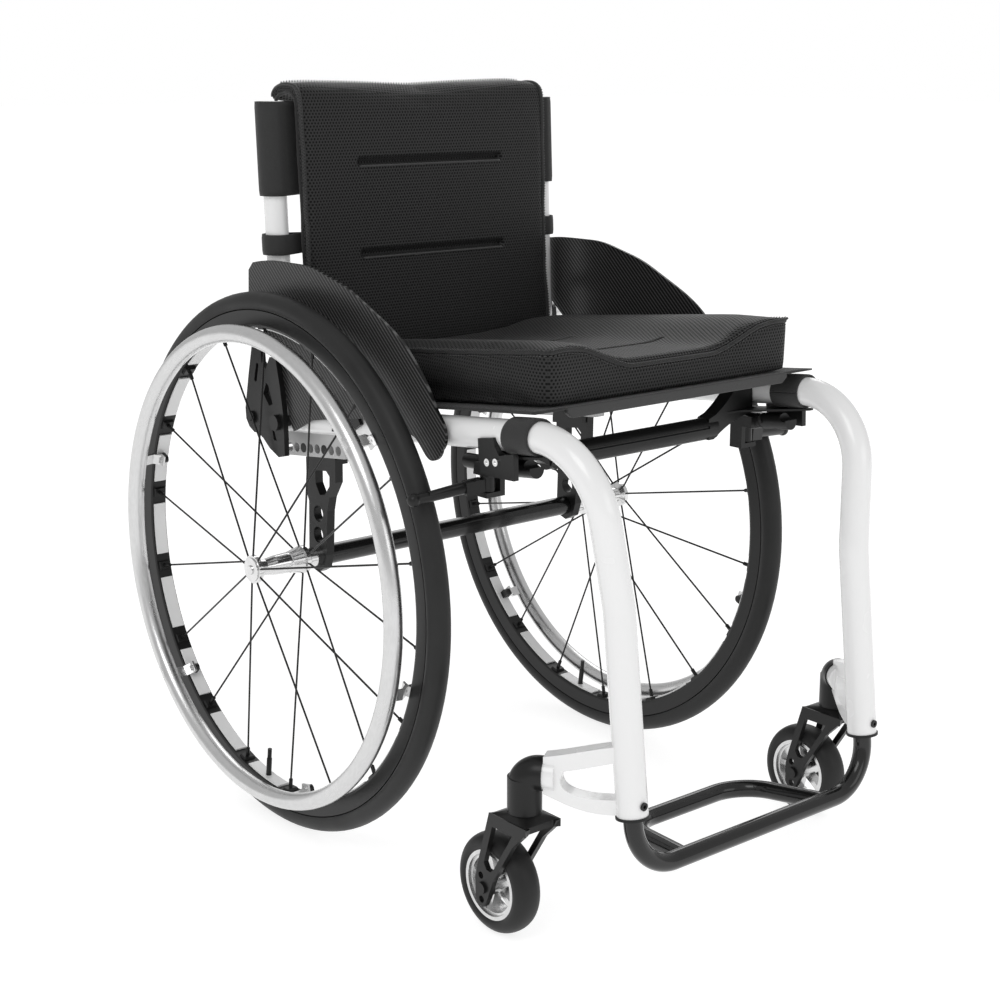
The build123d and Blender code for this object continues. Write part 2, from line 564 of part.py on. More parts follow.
# ---- seat cushion ----
CUSHION_HALF = 172.0
CUSHION_F = (-16.0, 363.5)
with BuildPart() as seat_cushion:
    with BuildSketch(side_plane(0)):
        Polygon((CUSHION_F[0] + 5, seat_line(CUSHION_F[0] + 5) + 24.3), (CUSHION_F[1], seat_line(CUSHION_F[1]) + 24.3),
                (CUSHION_F[1], seat_line(CUSHION_F[1]) + 78), (CUSHION_F[0], seat_line(CUSHION_F[0]) + 78), align=None)
    extrude(amount=CUSHION_HALF, both=True)
    fillet(seat_cushion.edges().filter_by(GeomType.LINE).filter_by(
        lambda e: abs((e @ 1 - e @ 0).normalized().Z) > 0.9 and (e @ 0).Y < 0), 18)
    # central dip between the thigh ridges
    with BuildSketch(Plane(origin=at(0, -60, 0), x_dir=(1, 0, 0), z_dir=SEAT_DIR)):
        with BuildLine():
            Spline((-112, 545.0), (-60, 529.0), (0, 526.5), (60, 529.0), (112, 545.0))
            Line((112, 545.0), (-112, 545.0))
        make_face()
    extrude(amount=460, mode=Mode.SUBTRACT)
save(seat_cushion.part, "seat_cushion")

# ---- backrest: hinge plates, arms, tubes, upholstery, rear bar and cushion ----
HINGE = (-80.0, 442.5)    # fold axis: forward, height
CHEEK_X = 215.0
CHEEK = [(-75, 530), (-85, 491), (-94, 451), (-93, 439), (-87, 431), (-77, 426), (-69, 426.5), (-59, 422), (-47, 413),
         (-29, 405.5), (-17, 408.5), (-17, 429), (-18, 455), (-23, 485), (-30, 514), (-42, 514), (-50, 500), (-58, 507),
         (-60, 530)]
with BuildPart() as back_hinge:
    with BuildSketch(side_plane(CHEEK_X)):
        with BuildLine():
            Polyline(*CHEEK, close=True)
        make_face()
        with BuildLine():
            Polyline((-56, 472), (-50, 485), (-46, 483), (-38, 463), (-45, 460), close=True)
        make_face(mode=Mode.SUBTRACT)
        with BuildLine():
            Polyline((-41, 437), (-36, 433), (-32, 423), (-38, 424), close=True)
        make_face(mode=Mode.SUBTRACT)
        with Locations((-69, 494)):
            SlotOverall(22, 5, rotation=75, mode=Mode.SUBTRACT)
    extrude(amount=6.0)
    # mounting boss to the seat tube, its knob, and the fold bolt
    rod(at(CHEEK_X - 1, -30, 444), at(TUBE_X, -30, 444), 6.0)
    rod(at(CHEEK_X - 1, -30, 444), at(CHEEK_X + 5, -30, 444), 8.5)
    rod(at(CHEEK_X + 4.5, *HINGE), at(TUBE_X - 14, *HINGE), 4.0)
    rod(at(CHEEK_X - 1, *HINGE), at(CHEEK_X + 3, *HINGE), 7.0)
    rod(at(TUBE_X, -70, seat_line(-70)), at(TUBE_X, 20, seat_line(20)), TUBE_R, Mode.SUBTRACT)
save_pair(back_hinge.part, "back_hinge")

BACK_LOW = 470.0
ARM = [(-92, 436), (-86, 430), (-72, 430), (-66, 438), (-65, 460), (-38, 466), (-38, 505), (-70, 505), (-90, 458)]
with BuildPart() as back_arm:
    with BuildSketch(side_plane(BACK_X + 11.5)):
        with BuildLine():
            Polyline(*ARM, close=True)
        make_face()
    extrude(amount=23.0)
    fillet(back_arm.edges().filter_by(Axis.X), 3.0)
    rod(at(BACK_X, back_f(BACK_LOW), BACK_LOW), at(BACK_X, back_f(530), 530), BACK_R, Mode.SUBTRACT)
    rod(at(BACK_X + 40, *HINGE), at(BACK_X - 40, *HINGE), 4.05, Mode.SUBTRACT)
save_pair(back_arm.part, "back_arm")

BACK_TOP = 783.0
with BuildPart() as back_tube:
    pipe([at(BACK_X, back_f(BACK_LOW), BACK_LOW), at(BACK_X, back_f(BACK_TOP), BACK_TOP)], [], BACK_R, BACK_R - 1.8)
    rod(at(BACK_X, back_f(BACK_TOP - 2), BACK_TOP - 2), at(BACK_X, back_f(BACK_TOP), BACK_TOP), BACK_R - 0.5)
save_pair(back_tube.part, "back_tube")

with BuildPart() as back_bar:
    rod(at(-180, back_f(560), 560), at(180, back_f(560), 560), 8.0)
    for side in (-1, 1):
        rod(at(side * BACK_X, back_f(500), 500), at(side * BACK_X, back_f(620), 620), BACK_R, Mode.SUBTRACT)
save(back_bar.part, "back_bar")


def back_plane(z):
    """Plane across the back tubes at a height, local y backward."""
    return Plane(origin=at(0, back_f(z), z), x_dir=(1, 0, 0), z_dir=at(0, -BACK_LEAN, 1) - at(0, 0, 0))


with BuildPart() as back_upholstery:
    for low, high in ((621.6, 643.3), (684.3, 783.5)):
        with BuildSketch(back_plane(low)):
            for side in (-1, 1):
                with Locations((side * BACK_X, 0)):
                    Circle(18.3)
            Rectangle(2 * BACK_X, 6.0)
            for side in (-1, 1):
                with Locations((side * BACK_X, 0)):
                    Circle(BACK_R, mode=Mode.SUBTRACT)
        extrude(amount=high - low)
save(back_upholstery.part, "back_upholstery")

PAD_HALF = 173.0
with BuildPart() as back_cushion:
    with BuildSketch(side_plane(0)):
        with BuildLine():
            Polyline((-27.0, 485), (-24.0, 532), (-37.5, 796), (-46, 803), (-72, 802.5), (-90, 797), (-98, 785),
                     (-92, 781), (-84, 787.5), (-50.5, 787.5), (-37.5, 532), (-40.0, 485), close=True)
        make_face()
    extrude(amount=PAD_HALF, both=True)
    # top edge dips between the corners
    with BuildSketch(Plane(origin=at(0, 0, 0), x_dir=(1, 0, 0), z_dir=(0, -1, 0))):
        with BuildLine():
            Spline((-160, 806.0), (-80, 799.5), (0, 796.5), (80, 799.5), (160, 806.0))
            Line((160, 806.0), (-160, 806.0))
        make_face()
    extrude(amount=300, both=True, mode=Mode.SUBTRACT)
save(back_cushion.part, "back_cushion")

# ---- footrest: front hoop sliding in the frame tubes, rear bar, collars and screws ----
foot_end = tube_path[3]
stem_top = foot_end - leg_dir * 75
hoop_corner = foot_end + leg_dir * ((87.2 - foot_end.Z) / leg_dir.Z)
with BuildPart() as footrest:
    pipe([stem_top, hoop_corner, Vector(-hoop_corner.X, hoop_corner.Y, hoop_corner.Z),
          Vector(-stem_top.X, stem_top.Y, stem_top.Z)], [49.4, 49.4], FOOT_TUBE_R)
    pipe([at(102.0, 487, 86.4), at(83.9, 386.5, 77.7), at(-83.9, 386.5, 77.7), at(-102.0, 487, 86.4)],
         [46.0, 46.0], FOOT_TUBE_R - 0.1)
save(footrest.part, "footrest")

with BuildPart() as footrest_collars:
    for side in (-1, 1):
        low = Vector(side * foot_end.X, foot_end.Y, foot_end.Z)
        down = Vector(side * leg_dir.X, leg_dir.Y, leg_dir.Z)
        rod(low, low + down * 2.6, TUBE_R + 1.2)
        rod(low - down * 24, low + down * 1, TUBE_BORE)
        rod(low - down * 30, low + down * 8, FOOT_TUBE_R + 0.06, Mode.SUBTRACT)
        spot = Vector(side * screw_spot.X, screw_spot.Y, screw_spot.Z)
        rod(spot, spot + Vector(0, -20, 0), 2.1, Mode.SUBTRACT)
save(footrest_collars.part, "footrest_collars")

with BuildPart() as footrest_screws:
    for side in (-1, 1):
        spot = Vector(side * screw_spot.X, screw_spot.Y, screw_spot.Z)
        rod(spot + Vector(0, -FOOT_TUBE_R - 0.8, 0), spot + Vector(0, -TUBE_R - 1.4, 0), 2.1)
        rod(spot + Vector(0, -TUBE_R - 0.6, 0), spot + Vector(0, -TUBE_R - 2.2, 0), 4.0)
        rod(spot + Vector(0, -TUBE_R - 0.5, 0), spot + Vector(0, -TUBE_R - 3, 0), 1.8, Mode.SUBTRACT)
save(footrest_screws.part, "footrest_screws")
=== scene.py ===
import math

import bpy
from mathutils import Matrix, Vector
from mathutils.bvhtree import BVHTree


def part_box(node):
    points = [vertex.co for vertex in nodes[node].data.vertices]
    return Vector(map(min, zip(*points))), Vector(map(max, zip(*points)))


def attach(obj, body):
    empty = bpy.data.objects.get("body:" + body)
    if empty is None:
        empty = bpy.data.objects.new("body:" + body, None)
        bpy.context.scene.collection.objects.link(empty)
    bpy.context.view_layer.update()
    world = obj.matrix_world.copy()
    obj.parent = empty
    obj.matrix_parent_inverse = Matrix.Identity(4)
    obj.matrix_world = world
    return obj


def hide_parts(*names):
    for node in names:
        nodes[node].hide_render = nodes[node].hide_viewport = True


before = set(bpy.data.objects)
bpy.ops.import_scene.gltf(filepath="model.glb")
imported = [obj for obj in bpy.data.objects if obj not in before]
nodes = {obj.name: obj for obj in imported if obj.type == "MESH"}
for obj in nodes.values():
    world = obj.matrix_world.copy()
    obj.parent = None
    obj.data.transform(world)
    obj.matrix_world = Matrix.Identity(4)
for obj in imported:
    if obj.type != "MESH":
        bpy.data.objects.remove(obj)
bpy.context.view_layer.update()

# A rigid manual wheelchair. Metres, +X the sitter's left, the sitter faces -Y.


# ---------------------------------------------------------------- materials
class Finish:
    """A Principled material whose colour, roughness and bump come from nodes in object coordinates."""

    def __init__(self, name, **sockets):
        self.material = bpy.data.materials.new(name)
        self.material.use_nodes = True
        self.tree = self.material.node_tree
        self.shader = self.tree.nodes["Principled BSDF"]
        place = self.tree.nodes.new("ShaderNodeTexCoord")
        self.place = place.outputs["Object"]
        self.normal = place.outputs["Normal"]
        for key, value in sockets.items():
            self.shader.inputs[key.replace("_", " ")].default_value = value

    def put(self, socket, value):
        if isinstance(value, bpy.types.NodeSocket):
            self.tree.links.new(value, socket)
        else:
            socket.default_value = value

    def math(self, operation, *values):
        node = self.tree.nodes.new("ShaderNodeMath")
        node.operation = operation
        for socket, value in zip(node.inputs, values):
            self.put(socket, value)
        return node.outputs[0]

    def vector(self, operation, *values):
        node = self.tree.nodes.new("ShaderNodeVectorMath")
        node.operation = operation
        for socket, value in zip(node.inputs, values):
            self.put(socket, value)
        return node.outputs["Value"] if operation in ("LENGTH", "DOT_PRODUCT") else node.outputs["Vector"]

    def split(self, vector):
        node = self.tree.nodes.new("ShaderNodeSeparateXYZ")
        self.put(node.inputs[0], vector)
        return node.outputs

    def join(self, x, y, z=0.0):
        node = self.tree.nodes.new("ShaderNodeCombineXYZ")
        for socket, value in zip(node.inputs, (x, y, z)):
            self.put(socket, value)
        return node.outputs[0]

    def noise(self, scale, detail=3.0, place=None):
        node = self.tree.nodes.new("ShaderNodeTexNoise")
        self.put(node.inputs["Vector"], place or self.place)
        node.inputs["Scale"].default_value = scale
        node.inputs["Detail"].default_value = detail
        return node.outputs["Fac"]

    def ramp(self, value, low, high, start=0.0, end=1.0, smooth=False):
        """Value from low..high mapped to start..end."""
        node = self.tree.nodes.new("ShaderNodeMapRange")
        if smooth:
            node.interpolation_type = "SMOOTHSTEP"
        for socket, v in zip(node.inputs, (value, low, high, start, end)):
            self.put(socket, v)
        return node.outputs[0]

    def mix(self, factor, first, second):
        node = self.tree.nodes.new("ShaderNodeMix")
        node.data_type = "RGBA"
        self.put(node.inputs[0], factor)
        self.put(node.inputs[6], first)
        self.put(node.inputs[7], second)
        return node.outputs[2]

    def pick(self, factor, first, second):
        """A vector: first where factor is 0, second where it is 1."""
        node = self.tree.nodes.new("ShaderNodeMix")
        node.data_type = "VECTOR"
        self.put(node.inputs[0], factor)
        self.put(node.inputs[4], first)
        self.put(node.inputs[5], second)
        return node.outputs[1]

    def colour(self, value):
        self.put(self.shader.inputs["Base Color"], value)

    def rough(self, value):
        self.put(self.shader.inputs["Roughness"], value)

    def bump(self, height, distance, strength=1.0):
        node = self.tree.nodes.new("ShaderNodeBump")
        node.inputs["Strength"].default_value = strength
        node.inputs["Distance"].default_value = distance
        self.put(node.inputs["Height"], height)
        self.put(self.shader.inputs["Normal"], node.outputs[0])


def grey(value, alpha=1.0):
    return (value, value, value, alpha)


def coated(name, dark, light, rough, coat=0.0, grain=900.0, depth=0.00004, metallic=0.0, shine=0.5):
    """Paint, powder coat, anodising or moulded plastic: faint colour drift, uneven gloss and a fine skin."""
    f = Finish(name, Metallic=metallic, Coat_Weight=coat, Coat_Roughness=0.06, Specular_IOR_Level=shine)
    drift = f.noise(7.0, 2.0)
    f.colour(f.mix(drift, dark, light))
    f.rough(f.ramp(f.noise(25.0, 2.0), 0.3, 0.7, rough - 0.02, rough + 0.03))
    f.bump(f.noise(grain, 2.0), depth, 0.25)
    return f.material


def brushed(name, dark, light, rough, along, grain=2600.0):
    """Metal with fine lines: along is the squeeze of the noise in each direction."""
    f = Finish(name, Metallic=1.0, Anisotropic=0.35)
    lines = f.noise(grain, 3.0, f.vector("MULTIPLY", f.place, along))
    f.colour(f.mix(f.ramp(lines, 0.35, 0.65), dark, light))
    f.rough(f.ramp(f.noise(30.0, 3.0), 0.3, 0.7, rough - 0.03, rough + 0.05))
    f.bump(lines, 0.00001, 0.15)
    return f.material


def facing(f):
    """Two coordinates that lie in the surface, chosen by which way it mostly faces."""
    x, y, z = f.split(f.place)
    nx, ny, nz = (f.math("ABSOLUTE", n) for n in f.split(f.normal))
    upright = f.pick(f.math("GREATER_THAN", nx, ny), f.join(x, z), f.join(y, z))
    lying = f.math("GREATER_THAN", nz, f.math("MAXIMUM", nx, ny))
    return f.pick(lying, upright, f.join(x, y))


def spacer_mesh(name, pitch, yarn, painted_hole_shade):
    """Knitted spacer mesh: a hexagonal field of small round holes between shiny yarns, the holes painted
    near-black as painted shade inside them.
    """
    f = Finish(name, Sheen_Weight=0.04, Sheen_Roughness=0.45, Specular_IOR_Level=0.3)
    flat = facing(f)
    cell = (pitch, pitch * math.sqrt(3), 1.0)
    scaled = f.vector("DIVIDE", flat, cell)
    reach = []
    for shift in ((0.0, 0.0, 0.0), (0.5, 0.5, 0.0)):
        inside = f.vector("FRACTION", f.vector("ADD", scaled, shift))
        centred = f.vector("MULTIPLY", f.vector("SUBTRACT", inside, (0.5, 0.5, 0.0)), (cell[0], cell[1], 0.0))
        reach.append(f.vector("LENGTH", centred))
    distance = f.math("MINIMUM", *reach)
    solid = f.ramp(distance, pitch * 0.20, pitch * 0.40, smooth=True)
    thread = f.noise(2400.0, 2.0)
    shade = f.mix(f.noise(9.0, 3.0), grey(yarn * 0.86), grey(yarn * 1.12))
    # painted shade: the holes take the near-black hole colour, the yarn keeps its own tone
    f.colour(f.mix(solid, grey(painted_hole_shade), shade))
    f.rough(f.ramp(solid, 0.0, 1.0, 0.95, 0.52))
    f.bump(f.math("ADD", solid, f.math("MULTIPLY", thread, 0.12)), 0.0006, 0.9)
    return f.material


def woven(name, dark, light, pitch=0.0011, rough=0.8):
    """Plain weave cloth: two crossed ribs and a little fluff."""
    f = Finish(name, Sheen_Weight=0.2, Sheen_Roughness=0.4)
    flat = f.vector("MULTIPLY", facing(f), (math.tau / pitch, math.tau / pitch, 0.0))
    u, v, _ = f.split(flat)
    ribs = f.math("MULTIPLY", f.math("SINE", u), f.math("SINE", v))
    fluff = f.noise(700.0, 4.0)
    f.colour(f.mix(f.ramp(f.math("ADD", ribs, fluff), -0.6, 1.6), dark, light))
    f.rough(f.ramp(fluff, 0.3, 0.7, rough - 0.06, rough + 0.08))
    f.bump(f.math("ADD", ribs, fluff), 0.00012, 0.6)
    return f.material


def twill(name, pitch, dark, light):
    """Carbon laminate: diagonal twill ribs crossed by the finer warp, under clear resin."""
    f = Finish(name, Coat_Weight=0.12, Coat_Roughness=0.25, Specular_IOR_Level=0.25)
    _, y, z = f.split(f.place)
    lean = f.math("SUBTRACT", z, f.math("MULTIPLY", y, 0.9))
    ribs = f.math("SINE", f.math("MULTIPLY", lean, math.tau / pitch))
    warp = f.math("SINE", f.math("MULTIPLY", z, math.tau / (pitch * 0.55)))
    weave = f.ramp(f.math("ADD", ribs, f.math("MULTIPLY", warp, 0.12)), -0.1, 0.9, smooth=True)
    f.colour(f.mix(weave, dark, light))
    f.rough(f.ramp(weave, 0.0, 1.0, 0.34, 0.5))
    f.bump(weave, 0.00008, 0.5)
    return f.material


def rubber(name, dark, light, rough=0.62):
    """Moulded rubber: fine mould grain, and duller patches where it has rolled."""
    f = Finish(name, Specular_IOR_Level=0.28)
    dust = f.noise(22.0, 5.0)
    f.colour(f.mix(f.ramp(dust, 0.3, 0.7), dark, light))
    f.rough(f.ramp(dust, 0.3, 0.7, rough - 0.08, rough + 0.08))
    f.bump(f.noise(1500.0, 3.0), 0.00008, 0.5)
    return f.material


WHITE = coated("white_powder_coat", grey(0.80), grey(0.84), 0.25, coat=0.4, grain=500.0, depth=0.00001)
BLACK = coated("black_anodised", grey(0.006), grey(0.011), 0.34, grain=1400.0, shine=0.3)
GLOSS_BLACK = coated("gloss_black_coat", grey(0.006), grey(0.010), 0.16, coat=0.35, grain=650.0,
                     depth=0.00001, shine=0.3)
BOLT = coated("black_oxide", grey(0.008), grey(0.014), 0.4, metallic=0.4, grain=2000.0)
PLASTIC = coated("black_plastic", grey(0.008), grey(0.013), 0.5, grain=1800.0, depth=0.00008, shine=0.3)
INLAY = coated("white_inlay", grey(0.74), grey(0.80), 0.35, coat=0.2)
GREY_BAR = coated("blasted_grey", grey(0.44), grey(0.5), 0.42, metallic=0.35, grain=2200.0)
STEEL = brushed("turned_steel", grey(0.68), grey(0.74), 0.14, (1.0, 0.06, 0.06))
CASTOR_METAL = brushed("turned_aluminium", grey(0.62), grey(0.68), 0.22, (1.0, 0.06, 0.06))
SATIN = brushed("satin_handrim", grey(0.62), grey(0.66), 0.28, (1.0, 0.15, 0.15), 900.0)
TYRE = rubber("tyre_rubber", grey(0.012), grey(0.019), 0.5)
MESH = spacer_mesh("spacer_mesh", 0.0038, 0.019, 0.002)
CLOTH = woven("dark_upholstery", grey(0.014), grey(0.026))
# hem cloth for the sling hem; on the back pad's channel lips this lighter cloth is a painted highlight
HEM_CLOTH_AND_LIP_HIGHLIGHT = woven("hem_webbing", grey(0.030), grey(0.052), 0.0014)
BINDING = woven("edge_binding", grey(0.010), grey(0.020), 0.0008, 0.7)
THREAD = woven("stitching_thread", grey(0.034), grey(0.066), 0.0005, 0.6)
CARBON = twill("carbon_twill", 0.0054, grey(0.002), grey(0.085))

LOOKS = {
    WHITE: ("frame_tube", "castor_arm", "back_tube"),
    BLACK: ("axle_plate", "castor_fork", "castor_elbow", "brake_clamp", "brake_handle", "brake_shoe",
            "back_hinge", "back_arm", "back_bar", "guard_bracket", "rim", "spokes", "crossbar"),
    GLOSS_BLACK: ("footrest", "axle_tube"),
    BOLT: ("hanger_bolts", "footrest_screws"),
    PLASTIC: ("footrest_collars",),
    INLAY: ("rim_inserts",),
    GREY_BAR: ("hanger_bar",),
    STEEL: ("brake_screws", "axle_pin", "release_button", "hub"),
    CASTOR_METAL: ("castor_hub",),
    SATIN: ("handrim",),
    TYRE: ("tyre", "castor_tyre"),
    CARBON: ("side_guard",),
    CLOTH: ("seat_sling", "back_upholstery"),
    MESH: ("seat_cushion", "back_cushion"),
}
look_of = {stem: look for look, stems in LOOKS.items() for stem in stems}
for name, piece in nodes.items():
    look = look_of[name.replace("_left", "").replace("_right", "")]
    piece.data.materials.clear()
    piece.data.materials.append(look)


# ---------------------------------------------------------------- mesh tools
def new_piece(name, points, faces, look, body, slot=None):
    mesh = bpy.data.meshes.new(name)
    mesh.from_pydata([tuple(p) for p in points], [], faces)
    mesh.update()
    for face in mesh.polygons:
        face.use_smooth = True
    piece = bpy.data.objects.new(name, mesh)
    bpy.context.scene.collection.objects.link(piece)
    mesh.materials.append(look)
    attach(piece, body)
    return piece


def skin(rings, closed=True, caps=True):
    """Faces over rings of equal length: rings closed round, and capped at both ends if asked."""
    n = len(rings[0])
    points = [p for ring in rings for p in ring]
    faces = []
    for i in range(len(rings) - 1):
        for j in range(n if closed else n - 1):
            k = (j + 1) % n
            faces.append((i * n + j, i * n + k, (i + 1) * n + k, (i + 1) * n + j))
    if caps:
        faces.append(tuple(reversed(range(n))))
        faces.append(tuple((len(rings) - 1) * n + j for j in range(n)))
    return points, faces


def tube_rings(path, radius, sides=8, closed=False):
    """Circles along a path, turned as little as possible from one to the next."""
    rings = []
    count = len(path)
    side = None
    for i, p in enumerate(path):
        before = path[(i - 1) % count] if closed or i else path[0]
        after = path[(i + 1) % count] if closed or i < count - 1 else path[-1]
        heading = (after - before).normalized()
        if side is None:
            side = heading.orthogonal().normalized()
        side = (side - heading * side.dot(heading)).normalized()
        up = heading.cross(side)
        rings.append([p + (side * math.cos(a) + up * math.sin(a)) * radius
                      for a in (math.tau * j / sides for j in range(sides))])
    if closed:
        rings.append(rings[0])
    return rings


def many_tubes(name, paths, radius, look, body, slot, sides=6):
    """Several open tubes as one piece."""
    points, faces = [], []
    for path in paths:
        p, f = skin(tube_rings(path, radius, sides))
        faces += [tuple(i + len(points) for i in face) for face in f]
        points += p
    return new_piece(name, points, faces, look, body, slot)


def surface_of(piece):
    """Nearest-point finder on a piece as it shows, modifiers included."""
    bpy.context.view_layer.update()
    return BVHTree.FromObject(piece, bpy.context.evaluated_depsgraph_get())


def smoothstep(x, low, high):
    t = min(1.0, max(0.0, (x - low) / (high - low)))
    return t * t * (3 - 2 * t)


def spread(path, step):
    """Points along a path, a step apart, each with the path's heading there."""
    out, left = [], 0.0
    for a, b in zip(path, path[1:]):
        run = (b - a).length
        heading = (b - a).normalized()
        while left <= run:
            out.append((a + heading * left, heading))
            left += step
        left -= run
    return out


def swell(piece, voxel, pressure, cap, rests=None):
    """Remesh a closed pad and let Cloth pressure crown it. No point moves further than cap, and rests(point)
    says which points lie on something and stay put."""
    remesh = piece.modifiers.new("remesh", "REMESH")
    remesh.mode = "VOXEL"
    remesh.voxel_size = voxel
    relax = piece.modifiers.new("relax", "SMOOTH")
    relax.factor = 0.5
    relax.iterations = 4
    keep_shape(piece)
    rest = [v.co.copy() for v in piece.data.vertices]
    cloth = piece.modifiers.new("cloth", "CLOTH")
    cloth.settings.quality = 4
    cloth.settings.mass = 0.3
    cloth.settings.tension_stiffness = 25
    cloth.settings.compression_stiffness = 25
    cloth.settings.shear_stiffness = 12
    cloth.settings.bending_stiffness = 3
    cloth.settings.use_pressure = True
    cloth.settings.uniform_pressure_force = pressure
    cloth.settings.effector_weights.gravity = 0
    cloth.collision_settings.use_collision = False
    for step in range(1, 21):
        bpy.context.scene.frame_set(step)
    keep_shape(piece)
    bpy.context.scene.frame_set(1)
    for v, start in zip(piece.data.vertices, rest):
        move = v.co - start
        if rests and rests(start):
            move = Vector((0, 0, 0))
        if move.length > cap:
            move *= cap / move.length
        v.co = start + move
    finer = piece.modifiers.new("finer", "SUBSURF")
    finer.levels = finer.render_levels = 1
    return piece


def keep_shape(piece):
    """Replace a piece's mesh by what its modifiers make of it."""
    bpy.context.view_layer.update()
    shown = piece.evaluated_get(bpy.context.evaluated_depsgraph_get())
    mesh = bpy.data.meshes.new_from_object(shown)
    looks = list(piece.data.materials)
    piece.modifiers.clear()
    piece.data = mesh
    mesh.materials.clear()
    for look in looks:
        mesh.materials.append(look)
    for face in mesh.polygons:
        face.use_smooth = True


# ---------------------------------------------------------------- places read from the frame
pin_low, pin_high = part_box("axle_pin_left")
axle_y = (pin_low.y + pin_high.y) / 2
SEAT_SLOPE = 0.10776


def at(x, forward, z):
    """A point from its side offset, length ahead of the rear axle and height, in millimetres."""
    return Vector((x / 1000, axle_y - forward / 1000, z / 1000))


def seat_top(forward):
    """Top of the seat sling at a length ahead of the axle, in millimetres."""
    return 441.5 + SEAT_SLOPE * (forward + 60) + 24.2


# ---------------------------------------------------------------- seat cushion
SEAT_HALF = 169.5
SEAT_BACK = -14.0
SEAT_FRONT = 361.5
SEAT_CORNER = 15.0


def seat_height(x, forward):
    """Cushion thickness: thigh ridges at the sides, a channel between them that fades to the rear."""
    channel = 24.0 * (1 - smoothstep(abs(x), 52, 138)) * (0.45 + 0.55 * smoothstep(forward, 60, 340))
    well = 6.0 * (1 - smoothstep(math.hypot(x / 1.25, forward - 95), 40, 125))
    return 56.5 - channel - well


def seat_half(forward):
    """Half width, rounded in plan at the corners."""
    inset = min(forward - SEAT_BACK, SEAT_FRONT - forward)
    if inset >= SEAT_CORNER:
        return SEAT_HALF
    short = SEAT_CORNER - max(0.0, inset)
    return SEAT_HALF - SEAT_CORNER + math.sqrt(max(0.0, SEAT_CORNER ** 2 - short ** 2))


def seat_ring(forward):
    """One slice across the cushion: flat underneath, upright sides, contoured top."""
    half = seat_half(forward)
    base = seat_top(forward)
    ring = [at(x, forward, base + 0.5) for x in (half * (k / 12 - 1) for k in range(1, 24))]
    for k in range(9):
        ring.append(at(half, forward, base + 2 + (seat_height(half, forward) - 4) * k / 8))
    for k in range(1, 40):
        x = half * (1 - k / 20)
        ring.append(at(x, forward, base + seat_height(x, forward)))
    for k in range(9):
        ring.append(at(-half, forward, base + 2 + (seat_height(half, forward) - 4) * (8 - k) / 8))
    return ring


steps = [SEAT_BACK + 0.2, SEAT_BACK + 3, SEAT_BACK + 8, SEAT_BACK + 15, SEAT_BACK + 24]
steps += [SEAT_BACK + 24 + (SEAT_FRONT - SEAT_BACK - 48) * k / 26 for k in range(1, 27)]
steps += [SEAT_FRONT - 15, SEAT_FRONT - 8, SEAT_FRONT - 3, SEAT_FRONT - 0.2]
seat_pad = new_piece("seat_pad", *skin([seat_ring(f) for f in steps]), MESH, "frame", "black_mesh")
swell(seat_pad, 0.0045, 2.5, 0.004, rests=lambda p: p.z < (seat_top((axle_y - p.y) * 1000) + 4) / 1000)
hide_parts("seat_cushion")


def seat_rim(step=6.0):
    """The seam round the top edge of the cushion: along the sides, round the corners and across the front."""
    path = []
    forward = SEAT_BACK + 6
    while forward < SEAT_FRONT - SEAT_CORNER:
        path.append((SEAT_HALF, forward))
        forward += step
    for k in range(7):
        a = math.radians(90 * k / 6)
        x = SEAT_HALF - SEAT_CORNER * (1 - math.cos(a))
        path.append((x, SEAT_FRONT - SEAT_CORNER * (1 - math.sin(a))))
    x = SEAT_HALF - SEAT_CORNER - step
    while x > 0:
        path.append((x, SEAT_FRONT))
        x -= step
    right = [(-x, f) for x, f in reversed(path)]
    return [at(x, f, seat_top(f) + seat_height(x, f) - 2.5) for x, f in path + right]


seat_surface = surface_of(seat_pad)


def on_surface(surface, path, lift):
    """A path laid on a surface, and lifted off it."""
    laid = []
    for p in path:
        spot, normal, _, _ = surface.find_nearest(p)
        laid.append(spot + normal * lift)
    return laid


seat_edge = on_surface(seat_surface, seat_rim(), 0.0006)
new_piece("seat_piping", *skin(tube_rings(seat_edge, 0.0021)), BINDING, "frame", "black_mesh")


def side_stitches(surface, path, step, length, aside, name, body, slot, thick=0.0004):
    """A row of short stitches beside a seam."""
    rows = []
    for p, heading in spread(path, step):
        spot, normal, _, _ = surface.find_nearest(p)
        across = normal.cross(heading).normalized()
        ends = [p + across * aside - heading * length / 2, p + across * aside + heading * length / 2]
        a, b = on_surface(surface, ends, 0.0003)
        middle = (a + b) / 2 + normal * 0.0004
        rows.append([a, middle, b])
    return many_tubes(name, rows, thick, THREAD, body, slot, 5)


# overlocked edge: a comb of small loops standing off the piping
comb = []
for k, (p, _) in enumerate(spread(seat_edge, 0.0019)):
    spot, normal, _, _ = seat_surface.find_nearest(p)
    comb.append(p + normal * (0.0042 if k % 2 else 0.0008))
new_piece("seat_overlock", *skin(tube_rings(comb, 0.0008, 5)), BINDING, "frame", "black_mesh")
side_stitches(seat_surface, seat_edge, 0.0042, 0.0026, 0.0042, "seat_stitches_outer", "frame", "black_mesh")
side_stitches(seat_surface, seat_edge, 0.0042, 0.0026, -0.0042, "seat_stitches_inner", "frame", "black_mesh")

# two sewn seams across the channel of the top panel
for forward, half, tag in ((266, 78, "front"), (138, 66, "rear")):
    reach = [half * (k / 20 - 1) for k in range(41)]
    line = [at(x, forward, seat_top(forward) + seat_height(x, forward)) for x in reach]
    laid = on_surface(seat_surface, line, 0.0001)
    new_piece("seat_seam_" + tag, *skin(tube_rings(laid, 0.0010, 6)), BINDING, "frame", "black_mesh")
    side_stitches(seat_surface, laid, 0.0046, 0.0028, 0.0036, "seat_seam_stitches_" + tag, "frame",
                  "black_mesh")

# ---------------------------------------------------------------- seat sling
SLING_HALF = 192.5
SLING_BACK = -23.0
SLING_FRONT = 370.5


